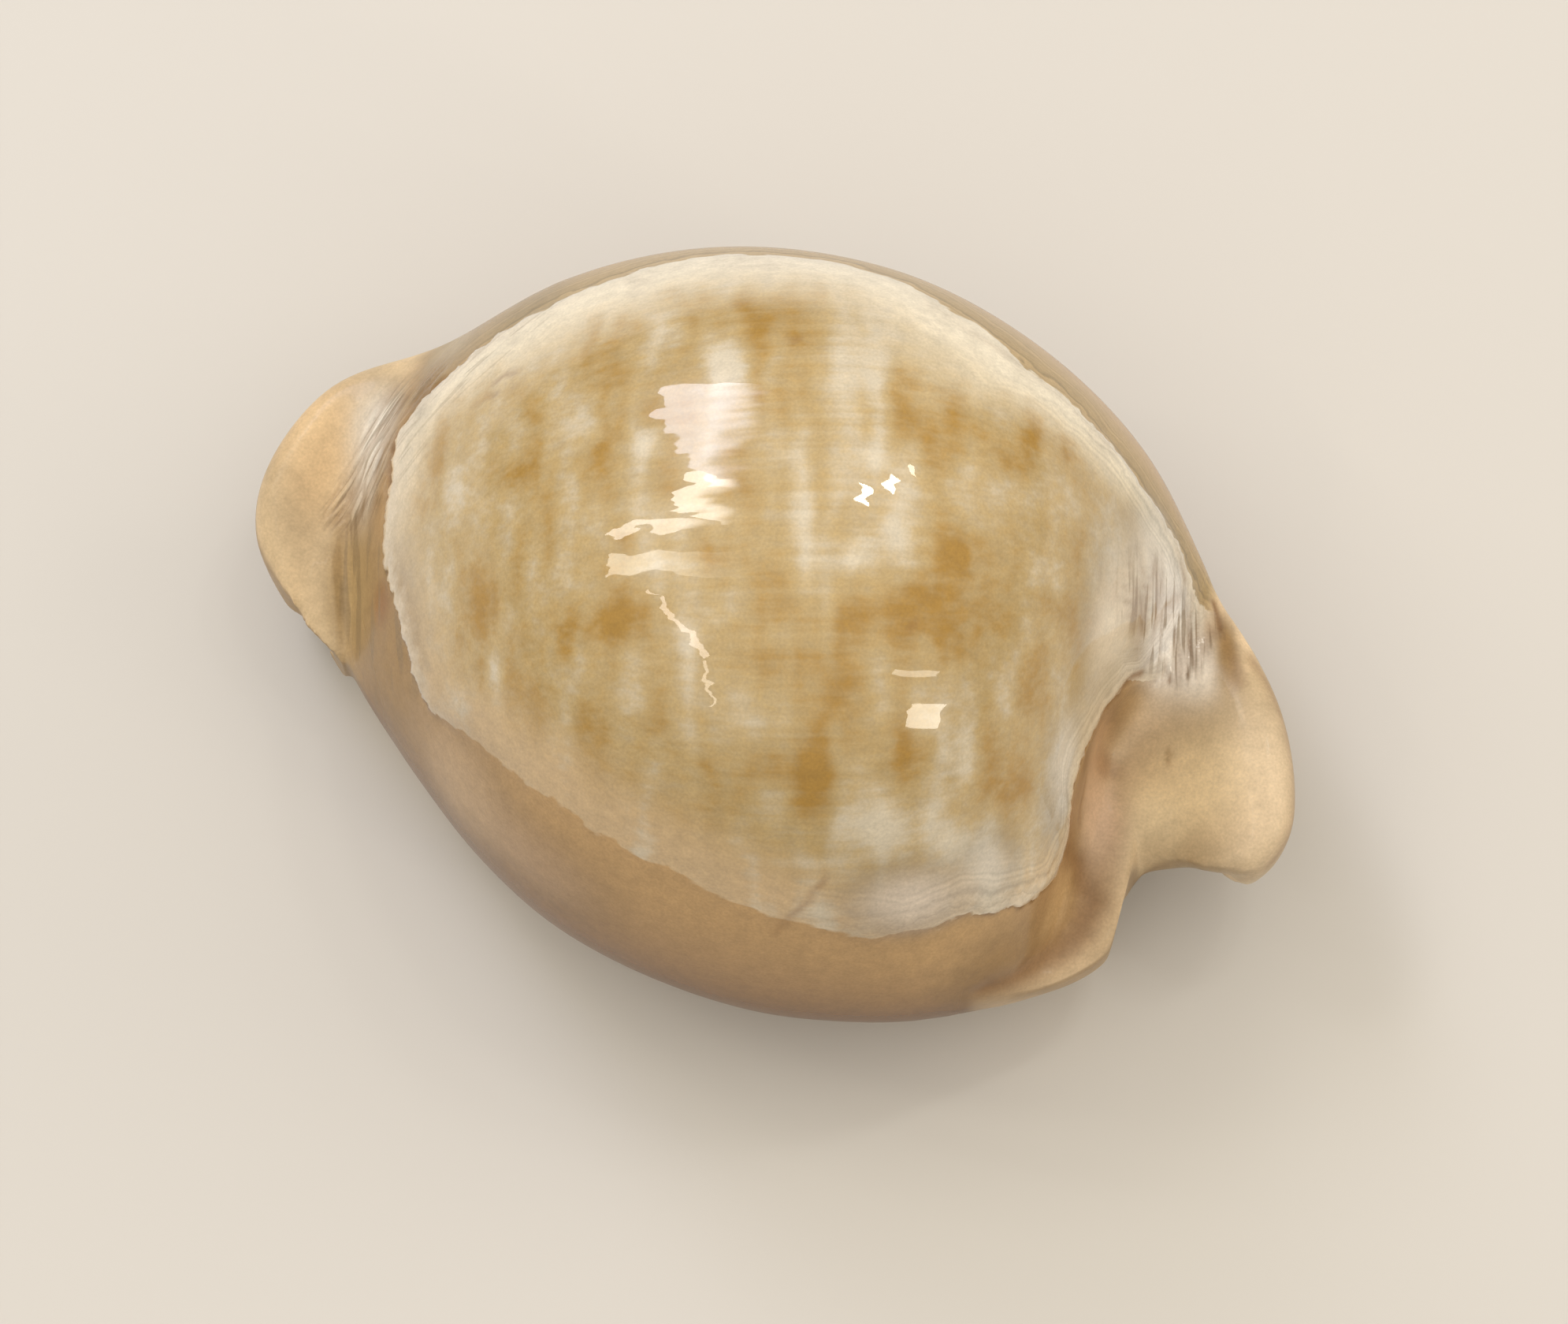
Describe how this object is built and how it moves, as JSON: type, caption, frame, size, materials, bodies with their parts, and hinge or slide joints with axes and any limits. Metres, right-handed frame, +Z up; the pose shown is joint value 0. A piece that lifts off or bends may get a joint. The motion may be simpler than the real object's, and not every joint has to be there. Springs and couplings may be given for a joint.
{
  "type": "cowrie shell",
  "caption": "Inflated, glossy cowrie shell with a flared rear beak, a rounded front beak and a toothed slit along its base; it lies on the base.",
  "frame": {"origin": "on the resting surface, under the middle of the shell's bounding box", "axes": "+X towards the rear end, with the larger beak and the sunken spire; +Y towards the outer lip's side; +Z up, from the base to the back"},
  "size_m": [0.095, 0.0642, 0.0502],
  "materials": {
    "shell": "natural porcelain gloss, cream and golden brown, peach ends"
  },
  "bodies": {
    "root": {"shell": "shell"}
  },
  "joints": []
}
